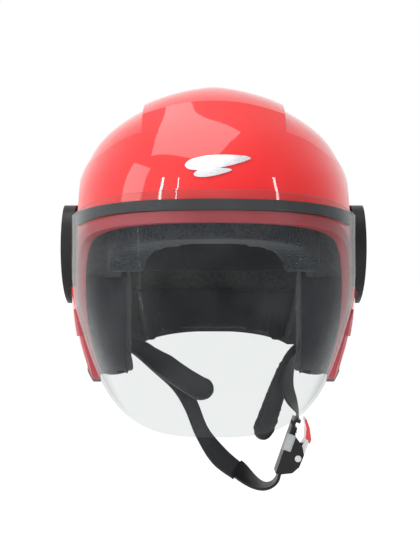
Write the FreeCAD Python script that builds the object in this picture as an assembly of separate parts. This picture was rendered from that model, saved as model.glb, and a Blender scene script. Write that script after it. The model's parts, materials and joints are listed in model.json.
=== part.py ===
import FreeCAD
import Part
import math
import os

"""Open face motorcycle helmet.

Units are millimetres.  +Z is up and the face opening looks along -Y.
The origin is the midpoint of the visor pivot axis, and +X is the wearer's left.
Every piece is modelled in place, closed visor, closed buckle.
"""

V = FreeCAD.Vector

# ---------------------------------------------------------------- driving dimensions
SHELL_HALF_WIDTH = 125.5
SHELL_TOP = 140.0
SHELL_FRONT = 155.0
SHELL_REAR = 132.0
PLAN_CENTRE = 8.0
SHELL_WALL = 3.2
BAND_RISE = 4.2
BAND_HALF_WIDTH = 59.0
PANEL_RISE = 1.8
FOAM_WALL = 32.0
LINER_WALL = 7.6
TRIM_WIDTH = 9.2
TRIM_LIP = 1.6
VISOR_WALL = 2.2
VISOR_REACH = 155.9
VISOR_GAP = 3.4
COVER_RADIUS = 40.0
COVER_WALL = 3.0
STRAP_WIDTH = 21.0
STRAP_THICK = 1.8
PAD_WIDTH = 25.0
PAD_THICK = 5.0
ANCHOR_Y = 30.0
ANCHOR_Z = -56.0
BUCKLE_LENGTH = 52.0
BUCKLE_WIDTH = 26.0
SCREW_RADIUS = 2.5
SCREW_FIT = 0.06

# ---------------------------------------------------------------- derived sizes
KX = SHELL_HALF_WIDTH / 125.5
KY = SHELL_FRONT / 155.0
KZ = SHELL_TOP / 140.0
RECESS_FLOOR = SHELL_HALF_WIDTH - 9.5
PLATE_THICK = 2.2
ARM_IN = RECESS_FLOOR + PLATE_THICK + 0.6
ARM_OUT = ARM_IN + VISOR_WALL
VISOR_HALF_WIDTH = RECESS_FLOOR + VISOR_GAP + VISOR_WALL
SKIRT_IN = VISOR_HALF_WIDTH + 0.7
COVER_OUT = SHELL_HALF_WIDTH + 9.5
RECESS_RADIUS = 68.0
RECESS_DISC = COVER_RADIUS + 8.0
FAR = 190.0
FOAM_IN = -(SHELL_WALL + FOAM_WALL)
PAD_GAP = 0.2

# Section heights of the dome as a share of its top, with the half width at each.
DOME_SIDES = (
    (0.9995, 0.030), (0.985, 0.127), (0.943, 0.287), (0.907, 0.422), (0.864, 0.530),
    (0.786, 0.671), (0.707, 0.776), (0.629, 0.846), (0.550, 0.896), (0.479, 0.939),
    (0.400, 0.968), (0.320, 0.986), (0.180, 0.998), (0.0, 1.0),
)
# Below the pivot axis: height, then the width, front and rear shares.
DOME_SKIRT = (
    (-25.0, 1.000, 1.00, 0.985), (-50.0, 0.993, 0.985, 0.945), (-66.0, 0.980, 0.97, 0.910),
    (-80.0, 0.960, 0.955, 0.875), (-92.0, 0.933, 0.94, 0.855), (-104.0, 0.898, 0.92, 0.838),
    (-115.0, 0.855, 0.90, 0.825), (-135.0, 0.760, 0.86, 0.80),
)
# Front facet: height, front edge, half width.
FACET = (
    (-138.0, -144.0, 134.0), (-115.0, -144.0, 133.5), (-92.0, -144.0, 133.0), (-69.0, -144.0, 132.3),
    (-46.0, -144.0, 131.4), (-23.0, -144.0, 130.4), (0.0, -143.6, 129.0), (20.0, -142.2, 126.9),
    (40.0, -138.9, 124.0), (60.0, -133.3, 120.1), (80.0, -124.3, 112.2), (97.0, -113.5, 104.6),
    (111.5, -101.5, 98.0), (125.0, -90.0, 90.0), (140.0, -78.0, 80.0), (156.0, -66.0, 70.0),
)
# Visor: height, half width taken off, front reach taken off.
VISOR_SECTIONS = (
    (62.0, 0.0, 7.5), (43.0, 0.0, 5.0), (20.0, 0.0, 1.5), (0.0, 0.0, 0.0), (-20.0, 0.0, -1.3),
    (-38.0, 1.2, -1.5), (-50.0, 3.4, -1.5), (-63.0, 6.8, -1.0), (-87.0, 14.4, 1.0),
    (-109.0, 22.1, 6.0), (-128.0, 31.0, 11.5), (-150.0, 45.6, 20.0), (-178.0, 66.0, 33.0),
)
# Side view of the rim: down the face opening, round the cheek and along the neck.
RIM = (
    (-168.0, 18.4), (-141.0, 17.6), (-118.0, 15.0), (-97.0, 10.5), (-80.0, 2.5), (-70.5, -12.0),
    (-66.5, -32.0), (-65.0, -56.0), (-65.5, -80.0), (-63.0, -98.0), (-53.0, -110.5), (-36.0, -115.5),
    (-12.0, -116.0), (14.0, -111.5), (45.0, -101.5), (80.0, -90.0), (105.0, -82.5), (124.0, -76.0),
    (168.0, -64.0),
)


# ---------------------------------------------------------------- small helpers
def side(y, z):
    """A side-view point that follows the overall sizes."""
    return (y * KY, z * KZ)


def box(x0, x1, y0, y1, z0, z1):
    return Part.makeBox(x1 - x0, y1 - y0, z1 - z0, V(x0, y0, z0))


def rod_x(radius, x0, x1, y=0.0, z=0.0):
    return Part.makeCylinder(radius, x1 - x0, V(x0, y, z), V(1, 0, 0))


def ring_x(outer, inner, x0, x1, y=0.0, z=0.0):
    return rod_x(outer, x0, x1, y, z).cut(rod_x(inner, x0 - 1, x1 + 1, y, z))


def mirror_x(shape):
    return shape.mirror(V(0, 0, 0), V(1, 0, 0))


def fuse_all(shapes):
    total = shapes[0]
    for shape in shapes[1:]:
        total = total.fuse(shape)
    return total.removeSplitter()


def cut_all(shape, tools):
    for tool in tools:
        shape = shape.cut(tool)
    return shape


def face_from(edges):
    return Part.Face(Part.Wire(Part.__sortEdges__(edges)))


def polygon_prism(points, x0, x1):
    """Extrude a side-view polygon along X."""
    loop = [V(x0, y, z) for y, z in points]
    wire = Part.makePolygon(loop + [loop[0]])
    return Part.Face(wire).extrude(V(x1 - x0, 0, 0))


def smooth_prism(points, x0, x1):
    """Extrude a closed smooth side-view outline along X."""
    curve = Part.BSplineCurve()
    curve.interpolate(Points=[V(x0, y, z) for y, z in points], PeriodicFlag=True)
    return Part.Face(Part.Wire(curve.toShape())).extrude(V(x1 - x0, 0, 0))


def open_curve(points, x0):
    curve = Part.BSplineCurve()
    curve.interpolate([V(x0, y, z) for y, z in points])
    return curve


def oval_point(half_width, front, rear, power, share):
    """Point of a rounded oval at a share of the full turn."""
    angle = 2 * math.pi * share
    c = math.cos(angle)
    s = math.sin(angle)
    reach = rear if s > 0 else front
    x = half_width * math.copysign(abs(c) ** (2 / power), c)
    y = reach * math.copysign(abs(s) ** (2 / power), s)
    return x, y


def oval_knots(power, count):
    """Spacing shared by every section, so that lofts keep few control points."""
    knots = [0.0]
    for i in range(count):
        x0, y0 = oval_point(1.0, 1.15, 1.05, power, i / count)
        x1, y1 = oval_point(1.0, 1.15, 1.05, power, (i + 1) / count)
        knots.append(knots[-1] + math.hypot(x1 - x0, y1 - y0))
    return [k / knots[-1] for k in knots]


def plan_wire(half_width, front, rear, z, centre, power, count=24):
    """Closed plan section with separate front and rear reach."""
    points = []
    for i in range(count):
        x, y = oval_point(half_width, front, rear, power, i / count)
        points.append(V(x, centre + y, z))
    curve = Part.BSplineCurve()
    curve.interpolate(Points=points, PeriodicFlag=True, Parameters=oval_knots(power, count))
    return Part.Wire(curve.toShape())


def loft(wires):
    return Part.makeLoft(wires, True, False, False, 5)


def dome_profile(share, power=2.35):
    return (1 - share ** power) ** (1 / power)


DOME_CACHE = {}


def dome(offset):
    """Solid head form, the given distance outside the base skin."""
    key = round(offset, 3)
    if key not in DOME_CACHE:
        DOME_CACHE[key] = make_dome(offset)
    return DOME_CACHE[key]


def make_dome(offset):
    wires = []
    for share, width in DOME_SIDES:
        reach = dome_profile(share)
        wires.append(plan_wire((SHELL_HALF_WIDTH + offset) * width, (SHELL_FRONT + offset) * reach,
                               (SHELL_REAR + offset) * reach, (SHELL_TOP + offset) * share,
                               PLAN_CENTRE, 2.2))
    for z, width, front, rear in DOME_SKIRT:
        wires.append(plan_wire(SHELL_HALF_WIDTH * width + offset, SHELL_FRONT * front + offset,
                               SHELL_REAR * rear + offset, z * KZ, PLAN_CENTRE, 2.2))
    return loft(wires)


def facet(offset):
    """Solid whose front wall is the flatter forehead panel."""
    wires = []
    for z, front, width in FACET:
        wires.append(plan_wire(width * KX + offset, PLAN_CENTRE - front * KY + offset, 190.0 * KY,
                               z * KZ, PLAN_CENTRE, 2.2))
    return loft(wires)


def visor_form(offset):
    wires = []
    for z, narrow, back in VISOR_SECTIONS:
        reach = VISOR_REACH * KY - 30.0 - back * KY + offset
        wires.append(plan_wire(VISOR_HALF_WIDTH - narrow * KX + offset, reach, reach, z * KZ, -30.0, 2.6))
    return loft(wires)


def rim_region(inset):
    """Prism that keeps everything above the rim, moved inward by the inset."""
    base = open_curve([side(y, z) for y, z in RIM], -FAR)
    first = base.FirstParameter
    last = base.LastParameter
    points = []
    for i in range(61):
        u = first + (last - first) * i / 60
        at = base.value(u)
        along = base.tangent(u)[0]
        points.append((at.y - along.z * inset, at.z + along.y * inset))
    curve = open_curve(points, -FAR).toShape()
    high = 190.0 * KZ
    start = V(-FAR, *points[0])
    end = V(-FAR, *points[-1])
    corners = [end, V(-FAR, points[-1][0], high), V(-FAR, points[0][0], high), start]
    lines = [Part.makeLine(a, b) for a, b in zip(corners, corners[1:])]
    return face_from([curve] + lines).extrude(V(2 * FAR, 0, 0))


def side_panel_region():
    outline = [side(y, z) for y, z in (
        (-66, -74), (-20, -76), (35, -69), (84, -45), (104, -2), (90, 40), (58, 64), (28, 68),
        (6, 50), (0, 10), (-26, -26), (-52, -48))]
    return smooth_prism(outline, -FAR, FAR)


def recess(radius, small, floor):
    """Pocket in each side for the visor arm: a disc plus the sector the arm sweeps."""
    sector = polygon_prism([(0, 0), (-110, -98), (-160, 0), (-110, 110), (30, 160), (60, 105)], floor, FAR)
    one = rod_x(small, floor, FAR).fuse(rod_x(radius, floor, FAR).common(sector))
    return one.fuse(mirror_x(one))


def outer_form(offset):
    band = dome(BAND_RISE + offset).common(
        box(-BAND_HALF_WIDTH * KX - offset, BAND_HALF_WIDTH * KX + offset, -FAR, FAR, -20, FAR))
    return dome(offset).fuse(band).common(facet(offset))


def ribbon(stations, width, thick, lift=0.0):
    """Flat band through stations of (point, width direction), lifted along its own normal."""
    centres = [V(*point) for point, across in stations]
    wires = []
    for i, (point, across) in enumerate(stations):
        ahead = centres[min(i + 1, len(centres) - 1)]
        behind = centres[max(i - 1, 0)]
        along = (ahead - behind).normalize()
        wide = V(*across)
        wide = (wide - along * wide.dot(along)).normalize()
        normal = along.cross(wide)
        middle = centres[i] + normal * lift
        a = wide * (width / 2)
        b = normal * (thick / 2)
        corners = [middle - a - b, middle + a - b, middle + a + b, middle - a + b]
        wires.append(Part.makePolygon(corners + [corners[0]]))
    return Part.makeLoft(wires, True, False, False, 3)


# ---------------------------------------------------------------- shell, liner and pads
def make_shell_parts():
    outside = outer_form(0.0)
    inside = outer_form(-SHELL_WALL)
    panel = dome(PANEL_RISE).common(side_panel_region())
    skin = outside.fuse(panel)
    pocket = recess(RECESS_RADIUS, RECESS_DISC, RECESS_FLOOR)
    pocket_in = recess(RECESS_RADIUS + SHELL_WALL, RECESS_DISC + SHELL_WALL, RECESS_FLOOR - SHELL_WALL)
    core = inside.cut(pocket_in)
    kept = rim_region(TRIM_LIP)
    shell = skin.cut(pocket).cut(core).common(kept)
    foam = core.common(rim_region(TRIM_WIDTH + 0.4)).cut(dome(FOAM_IN))
    foam = foam.cut(strap_space())
    return shell, foam


def strap_space():
    """Room left in the foam on both sides for the chin strap hangers."""
    y0 = ANCHOR_Y - 28.0
    y1 = ANCHOR_Y + 24.0
    one = box(SHELL_HALF_WIDTH - 62.0, SHELL_HALF_WIDTH + 20.0, y0, y1, -140.0 * KZ, ANCHOR_Z + 20.0)
    return one.fuse(mirror_x(one))


def low_form(offset, region):
    """The part of the head form inside a region below the raised top band."""
    return dome(offset).common(region).common(facet(offset))


def make_edge_trims(shell):
    edge = rim_region(0.0).cut(rim_region(TRIM_WIDTH))
    raised = dome(PANEL_RISE + TRIM_LIP).common(edge).common(side_panel_region())
    outer = low_form(TRIM_LIP, edge).fuse(raised)
    band = outer.cut(low_form(-SHELL_WALL - TRIM_LIP, edge))
    pocket = recess(RECESS_RADIUS + 6.0, RECESS_DISC, RECESS_FLOOR)
    band = band.cut(pocket).cut(shell)
    split = -50.0 * KY
    face_side = band.common(box(-FAR, FAR, -FAR, split, -FAR, FAR))
    neck_side = band.common(box(-FAR, FAR, split, FAR, -FAR, 0))
    return face_side, neck_side


def make_brow_seal():
    lower = [side(y, z) for y, z in ((-172, 27.6), (-141, 27.2), (-112, 25.0), (-88, 21.5), (-69, 18.5))]
    upper = [side(y, z) for y, z in ((-172, 36.6), (-141, 36.0), (-112, 34.0), (-88, 31.8), (-69, 30.0))]
    low = open_curve(lower, -FAR).toShape()
    high = open_curve(upper, -FAR).toShape()
    ends = [Part.makeLine(V(-FAR, *lower[i]), V(-FAR, *upper[i])) for i in (0, -1)]
    region = face_from([low, high] + ends).extrude(V(2 * FAR, 0, 0))
    return low_form(3.2, region).cut(low_form(0.0, region))


def make_emblem():
    """Plain generic badge: two tapered blades, 1.2 mm thick, lying on the forehead panel."""
    near = box(-60 * KX, 60 * KX, -FAR, -40, 40 * KZ, 90 * KZ)
    skin = facet(1.2).common(near).cut(facet(0.0))
    blades = []
    for cx, cz, half, tall, tilt in ((3.0, 66.0, 26.0, 5.4, 7.0), (-1.0, 57.5, 15.0, 3.2, 7.0)):
        outline = []
        for i in range(16):
            angle = 2 * math.pi * i / 16
            px = half * math.cos(angle)
            pz = tall * math.sin(angle) * (1.0 - 0.35 * math.cos(angle))
            turn = math.radians(tilt)
            outline.append(V(cx * KX + px * math.cos(turn) - pz * math.sin(turn), -FAR,
                             cz * KZ + px * math.sin(turn) + pz * math.cos(turn)))
        curve = Part.BSplineCurve()
        curve.interpolate(Points=outline, PeriodicFlag=True)
        prism = Part.Face(Part.Wire(curve.toShape())).extrude(V(0, FAR - 20.0, 0))
        blades.append(skin.common(prism))
    return Part.makeCompound(blades)


def make_comfort_liner():
    region = polygon_prism([side(y, z) for y, z in (
        (-180, 44), (-104, 33), (-60, 12), (20, 2), (56, -18), (180, -18), (180, 180), (-180, 180))],
        -FAR, FAR)
    return dome(FOAM_IN - PAD_GAP).cut(dome(FOAM_IN - LINER_WALL)).common(region)


def make_brow_pad():
    """Strip under the front edge of the foam, a little below the shell edge."""
    region = rim_region(-11.0).cut(rim_region(TRIM_WIDTH + PAD_GAP))
    region = region.common(box(-FAR, FAR, -FAR, -74.0 * KY, -20, FAR))
    return dome(-18.0).common(facet(-12.0)).cut(dome(FOAM_IN - LINER_WALL)).common(region)


def foam_block():
    """Everything the foam may fill, a little enlarged."""
    return rim_region(TRIM_WIDTH + PAD_GAP).cut(dome(FOAM_IN - PAD_GAP))


def make_cheek_pad():
    inner_face = SHELL_HALF_WIDTH - 53.5
    outline = [side(y, z) for y, z in (
        (-61, -26), (-63.5, -55), (-63, -84), (-57, -101), (-40, -109), (-18, -109.5), (-5, -103),
        (0, -84), (1, -52), (-3, -24), (-16, -12), (-36, -10), (-52, -14))]
    pad = smooth_prism(outline, inner_face, FAR).common(dome(-SHELL_WALL - TRIM_LIP - PAD_GAP))
    return pad.cut(foam_block())


def make_neck_pad():
    region = polygon_prism([side(y, z) for y, z in (
        (56, -36), (150, -36), (150, -60), (122, -75.0), (105, -79), (84, -74), (70, -78), (58, -86))],
        -FAR, FAR)
    pad = dome(-SHELL_WALL - TRIM_LIP - PAD_GAP).cut(dome(FOAM_IN - 9.0)).common(region)
    return pad.cut(foam_block())


# ---------------------------------------------------------------- visor and its mechanism
def make_visor():
    top = [side(y, z) for y, z in ((-28, 26), (-60, 26), (-100, 30), (-130, 37.5), (-156, 43.5), (-178, 47))]
    low = [side(y, z) for y, z in (
        (-178, -160), (-156, -155.5), (-138, -150.5), (-118, -141), (-100, -126), (-88, -107),
        (-79.5, -84), (-73.5, -62), (-65, -44), (-52, -31), (-40, -24), (-28, -20))]
    edges = [open_curve(top, -FAR).toShape(), open_curve(low, -FAR).toShape()]
    edges.append(Part.makeLine(V(-FAR, *top[-1]), V(-FAR, *low[0])))
    edges.append(Part.makeLine(V(-FAR, *top[0]), V(-FAR, *low[-1])))
    region = face_from(edges).extrude(V(2 * FAR, 0, 0))
    sheet = visor_form(0.0).cut(visor_form(-VISOR_WALL)).common(region)
    tongue = polygon_prism([(-43, 23), (-6, 25.3), (-6, -25.3), (-28, -19), (-43, -30)], ARM_IN, ARM_OUT)
    arm = rod_x(26.0, ARM_IN, ARM_OUT).fuse(tongue)
    hole = rod_x(15.0, ARM_IN - 1, ARM_OUT + 1)
    return sheet.fuse(arm).fuse(mirror_x(arm)).cut(hole).cut(mirror_x(hole))


def make_ratchet_ring():
    """Toothed ring pressed into the visor arm; it turns on the hub of the base plate."""
    sleeve = rod_x(14.95, ARM_IN, ARM_OUT + 0.1)
    flange = rod_x(21.0, ARM_OUT + 0.1, ARM_OUT + 1.9)
    for i in range(14):
        angle = math.radians(i * 12.0 - 78.0)
        notch = rod_x(1.6, ARM_OUT - 1, ARM_OUT + 3, 21.6 * math.cos(angle), 21.6 * math.sin(angle))
        flange = flange.cut(notch)
    return sleeve.fuse(flange).cut(rod_x(9.0 + SCREW_FIT, ARM_IN - 1, ARM_OUT + 3))


PLATE_SCREWS = ((22.8, 23.4), (18.0, -28.0))
SPRING_POSTS = ((30.5, 13.0), (30.5, -13.0))


def make_base_plate():
    plate = rod_x(COVER_RADIUS - 1.5, RECESS_FLOOR, RECESS_FLOOR + PLATE_THICK)
    hub = rod_x(9.0, RECESS_FLOOR, ARM_OUT + 5.4)
    body = plate.fuse(hub)
    for y, z in SPRING_POSTS:
        body = body.fuse(box(RECESS_FLOOR, ARM_OUT + 4.4, y - 1.6, y + 1.6, z - 2.2, z + 2.2))
    for y, z in PLATE_SCREWS:
        body = body.cut(rod_x(SCREW_RADIUS + 0.1, RECESS_FLOOR - 1, RECESS_FLOOR + 9, y, z))
    return body.cut(rod_x(SCREW_RADIUS + 0.05, RECESS_FLOOR + 1.0, ARM_OUT + 9))


def make_detent_spring():
    """Bent leaf spring that presses on the notches of the ratchet ring."""
    line = ((28.9, -15.0), (28.3, -11.0), (24.0, -7.0), (21.9, -3.5), (21.9, 3.5), (24.0, 7.0),
            (28.3, 11.0), (28.9, 15.0))
    inner = [(y - 0.5, z) for y, z in line]
    x0 = ARM_OUT + 0.4
    return polygon_prism(list(line) + inner[::-1], x0, x0 + 3.2)


def screw_x(y, z, head_at, length, head_radius, head_thick, tip_side=-1):
    shank = rod_x(SCREW_RADIUS, head_at - length, head_at, y, z)
    head = rod_x(head_radius, head_at, head_at + head_thick, y, z)
    slot = box(head_at + head_thick - 0.9, head_at + head_thick + 1, y - head_radius, y + head_radius,
               z - 0.6, z + 0.6)
    cross = box(head_at + head_thick - 0.9, head_at + head_thick + 1, y - 0.6, y + 0.6,
                z - head_radius * 0.55, z + head_radius * 0.55)
    slot = slot.common(rod_x(head_radius * 0.55, head_at, head_at + head_thick + 1, y, z))
    return shank.fuse(head).cut(slot).cut(cross)


def make_plate_screw(y, z):
    return screw_x(y, z, RECESS_FLOOR + PLATE_THICK, 14.0, 3.6, 2.2)


def make_plate_nut(y, z):
    inner = RECESS_FLOOR - SHELL_WALL
    flange = rod_x(8.0, inner - 1.2, inner, y, z)
    barrel = rod_x(4.0, inner - 12.0, inner, y, z)
    return flange.fuse(barrel).cut(rod_x(SCREW_RADIUS + 0.05, inner - 13.0, inner + 1, y, z))


COVER_OUTLINE = (
    (-6, 40), (-26, 30), (-33, 8), (-30, -14), (-20, -32), (-2, -45), (12, -48), (26, -40),
    (36, -20), (38, 4), (30, 27), (12, 39))


def cover_points(inset):
    scale = COVER_RADIUS / 40.0
    points = []
    for y, z in COVER_OUTLINE:
        radius = math.hypot(y, z)
        share = (radius * scale - inset) / radius
        points.append((y * share, z * share))
    return points


def make_side_cover():
    """Domed cap with a skirt; the skirt stays clear of the moving visor arm."""
    bulge = 420.0
    centre = V(COVER_OUT - bulge, 0, 0)
    outer_ball = Part.makeSphere(bulge, centre)
    inner_ball = Part.makeSphere(bulge - COVER_WALL, centre)
    full = smooth_prism(cover_points(0.0), RECESS_FLOOR, COVER_OUT + 2)
    hollow = smooth_prism(cover_points(COVER_WALL), RECESS_FLOOR - 1, COVER_OUT + 2)
    plate = full.common(outer_ball).cut(inner_ball)
    low = -36.0 * COVER_RADIUS / 40.0
    skirt = full.cut(hollow).common(inner_ball)
    front = skirt.common(box(SKIRT_IN, COVER_OUT, -80, 80, low, 80))
    rear = skirt.common(box(RECESS_FLOOR + PLATE_THICK + 0.3, COVER_OUT, 24, 80, low + 8, 80))
    boss = rod_x(9.0, ARM_OUT + 5.4, COVER_OUT - 1.0).common(outer_ball)
    body = fuse_all([plate, front, rear, boss])
    body = body.cut(rod_x(SCREW_RADIUS + 0.1, RECESS_FLOOR, COVER_OUT + 2))
    return body.cut(rod_x(8.3, COVER_OUT - 1.6, COVER_OUT + 2))


def make_pivot_screw():
    return screw_x(0.0, 0.0, COVER_OUT - 1.6, 14.0, 8.0, 2.0)


# ---------------------------------------------------------------- chin strap
HANGER_X = SHELL_HALF_WIDTH - 16.0
SLOT_Z = ANCHOR_Z - 10.3


def make_strap_rivet():
    x_plate = HANGER_X
    shank = rod_x(SCREW_RADIUS, x_plate - 2.0, SHELL_HALF_WIDTH + 0.5, ANCHOR_Y, ANCHOR_Z)
    inner_head = rod_x(5.0, x_plate - 2.1, x_plate - 0.3, ANCHOR_Y, ANCHOR_Z)
    ball = Part.makeSphere(12.0, V(SHELL_HALF_WIDTH - 9.6, ANCHOR_Y, ANCHOR_Z))
    outer_head = ball.common(rod_x(6.5, SHELL_HALF_WIDTH - 1.2, SHELL_HALF_WIDTH + 9, ANCHOR_Y, ANCHOR_Z))
    return fuse_all([shank, inner_head, outer_head])


def make_rivet_spacer():
    sleeve = ring_x(5.5, SCREW_RADIUS + SCREW_FIT, HANGER_X + 1.8, SHELL_HALF_WIDTH + 5,
                    ANCHOR_Y, ANCHOR_Z)
    return sleeve.common(dome(-SHELL_WALL - 0.15))


def make_hanger():
    """Steel plate that turns on the rivet and carries the webbing on its lower bar."""
    half = STRAP_WIDTH / 2 + 3.0
    plate = box(HANGER_X, HANGER_X + 1.5, ANCHOR_Y - half, ANCHOR_Y + half, SLOT_Z - 4.4, SLOT_Z + 3.4)
    ear = rod_x(8.5, HANGER_X, HANGER_X + 1.5, ANCHOR_Y, ANCHOR_Z)
    slot = box(HANGER_X - 1, HANGER_X + 3, ANCHOR_Y - STRAP_WIDTH / 2 - 0.6,
               ANCHOR_Y + STRAP_WIDTH / 2 + 0.6, SLOT_Z - 1.4, SLOT_Z + 1.4)
    hole = rod_x(SCREW_RADIUS + SCREW_FIT, HANGER_X - 1, HANGER_X + 3, ANCHOR_Y, ANCHOR_Z)
    return plate.fuse(ear).cut(slot).cut(hole)


def strap_fold():
    """Webbing folded over the hanger bar, sewn together below it (positive side)."""
    t = STRAP_THICK
    x_in = HANGER_X - 0.5 - t
    x_out = HANGER_X + 2.0 + t
    z_top = SLOT_Z + 1.0
    low = SLOT_Z - 13.5
    mid = HANGER_X + 0.75
    outline = [(x_in, z_top), (x_out, z_top), (x_out, low + 6), (mid + t, low), (mid - t, low),
               (x_in, low + 6)]
    hollow = [(x_in + t, z_top - t), (x_out - t, z_top - t), (x_out - t, low + 6.5), (mid, low + 2.5),
              (x_in + t, low + 6.5)]
    solids = []
    for points in (outline, hollow):
        loop = [V(x, ANCHOR_Y - STRAP_WIDTH / 2, z) for x, z in points]
        wire = Part.makePolygon(loop + [loop[0]])
        solids.append(Part.Face(wire).extrude(V(0, STRAP_WIDTH, 0)))
    return solids[0].cut(solids[1])


def strap_point(x, y, z):
    """Strap stations follow the anchor: x with the hanger plate, y and z with the anchor place."""
    return (x * (HANGER_X + 0.75) / 110.25, y - 30.0 + ANCHOR_Y, z + 56.0 + ANCHOR_Z)


RIGHT_ROUTE = (
    ((-110.25, 30, -79.3), (0, 1, 0)), ((-108.6, 29.8, -83.4), (0, 1, 0)),
    ((-101, 28.5, -87.2), (0, 1, 0)), ((-88, 25.5, -86.0), (0.1, 0.98, 0.1)),
    ((-70, 20, -88.5), (0.38, 0.75, 0.5)), ((-49, 12, -104), (0.48, 0.6, 0.6)),
    ((-31, 5, -121), (0.50, 0.68, 0.45)), ((-20, 1.5, -141), (0.50, 0.80, 0.2)),
    ((-10, 0, -165), (0.52, 0.82, 0.2)), ((5, 0, -186), (0.55, 0.65, 0.5)),
    ((22, 0, -200), (0.3, 0.75, 0.6)),
)
LEFT_ROUTE = (
    ((110.25, 30, -79.3), (0, 1, 0)), ((108.6, 29.8, -83.4), (0, 1, 0)),
    ((101, 28.5, -87.2), (0, 1, 0)), ((90, 26, -88.0), (0, 1, 0.05)),
    ((77, 22, -95), (0.2, 0.95, 0)), ((70, 17, -108), (0.4, 0.88, -0.1)),
    ((67.5, 11, -123), (0.3, 0.93, 0)), ((70.5, 5, -136), (0.1, 0.98, 0)),
    ((76.5, 1.5, -147), (0, 1, 0)),
)
RIGHT_PAD = (
    ((-80, 23, -86.6), (0.2, 0.92, 0.3)), ((-70, 20, -88.5), (0.38, 0.75, 0.5)),
    ((-49, 12, -104), (0.48, 0.6, 0.6)), ((-30, 5.0, -117), (0.48, 0.6, 0.6)),
    ((-14, -0.5, -126), (0.48, 0.58, 0.62)), ((-1, -4.5, -131.5), (0.46, 0.58, 0.64)),
)
LEFT_PAD = (
    ((80, 22.5, -92), (0.2, 0.95, 0)), ((75.5, 20, -98), (0.3, 0.93, -0.05)),
    ((69.5, 15.5, -110), (0.48, 0.84, -0.2)), ((61.5, 9, -128), (0.60, 0.76, -0.24)),
    ((53.5, 3.5, -148), (0.66, 0.71, -0.24)), ((44.5, -0.5, -172), (0.68, 0.69, -0.24)),
)


def placed(route):
    return [(strap_point(*point), across) for point, across in route]


def rounded_tip(stations, width):
    """Solid used to round the free end of a strap pad."""
    last = V(*stations[-1][0])
    along = (last - V(*stations[-2][0])).normalize()
    wide = V(*stations[-1][1])
    wide = (wide - along * wide.dot(along)).normalize()
    normal = along.cross(wide)
    disc = Part.makeCylinder(width / 2, 40, last - along * (width / 2) - normal * 20, normal)
    back = Part.makeBox(200, width * 1.4, 60)
    frame = FreeCAD.Matrix(along.x, wide.x, normal.x, 0, along.y, wide.y, normal.y, 0,
                           along.z, wide.z, normal.z, 0, 0, 0, 0, 1)
    back.translate(V(-200, -width * 0.7, -30))
    back = back.transformGeometry(frame)
    back.translate(last - along * (width / 2))
    return disc.fuse(back)


def make_strap(route, mirrored):
    fold = strap_fold()
    if mirrored:
        fold = mirror_x(fold)
    return fold.fuse(ribbon(placed(route), STRAP_WIDTH, STRAP_THICK))


def make_pad(route, lift):
    stations = placed(route)
    pad = ribbon(stations, PAD_WIDTH, PAD_THICK, lift)
    return pad.common(rounded_tip(stations, PAD_WIDTH))


# ---------------------------------------------------------------- buckle
BUCKLE_AT = V(*strap_point(70.0, 0.0, -177.0))
BUCKLE_DOWN = V(-0.33, 0, -0.944).normalize()
BUCKLE_OUT = BUCKLE_DOWN.cross(V(0, 1, 0))
PIN_U = 7.0
PIN_N = 8.0
CHEEK = BUCKLE_WIDTH / 2


def place_buckle(shape):
    """From buckle axes (x down the strap, y across, z outward) to the helmet."""
    d = BUCKLE_DOWN
    n = BUCKLE_OUT
    at = BUCKLE_AT
    frame = FreeCAD.Matrix(d.x, 0, n.x, at.x, 0, 1, 0, at.y, d.z, 0, n.z, at.z, 0, 0, 0, 1)
    result = shape.copy()
    result.Placement = FreeCAD.Placement(frame)
    return result


def slab_y(points, y0, y1):
    """Extrude an outline given in the buckle's side view across its width."""
    loop = [V(x, y0, z) for x, z in points]
    return Part.Face(Part.makePolygon(loop + [loop[0]])).extrude(V(0, y1 - y0, 0))


def rod_y(radius, y0, y1, x, z):
    return Part.makeCylinder(radius, y1 - y0, V(x, y0, z), V(0, 1, 0))


def make_buckle_body():
    half = BUCKLE_LENGTH / 2
    floor = box(-half, half, -CHEEK + 0.5, CHEEK - 0.5, -6.5, -4.0)
    cheek = slab_y([(-10, -6.5), (half - 3, -6.5), (half, -3), (half - 5, 7.5), (half - 12, 11.6),
                    (2.5, 12.2), (-4, 8.5), (-10, 0)], CHEEK - 2.0, CHEEK)
    cheek_other = cheek.mirror(V(0, 0, 0), V(0, 1, 0))
    bridge = box(half - 9.5, half - 7.0, -CHEEK + 1, CHEEK - 1, 3.0, 5.5)
    top_bar = box(-half, -half + 3.0, -CHEEK + 0.5, CHEEK - 0.5, -6.5, -0.5)
    slot = box(-half + 3.4, -half + 6.4, -STRAP_WIDTH / 2 - 0.6, STRAP_WIDTH / 2 + 0.6, -8, -3)
    body = fuse_all([floor, cheek, cheek_other, bridge, top_bar]).cut(slot)
    return body.cut(rod_y(2.05, -CHEEK - 1, CHEEK + 1, PIN_U, PIN_N))


def make_buckle_pin():
    pin = rod_y(2.0, -CHEEK - 0.2, CHEEK + 0.2, PIN_U, PIN_N)
    heads = [rod_y(2.9, y, y + 0.9, PIN_U, PIN_N) for y in (-CHEEK - 1.0, CHEEK + 0.1)]
    return fuse_all([pin] + heads)


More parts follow.
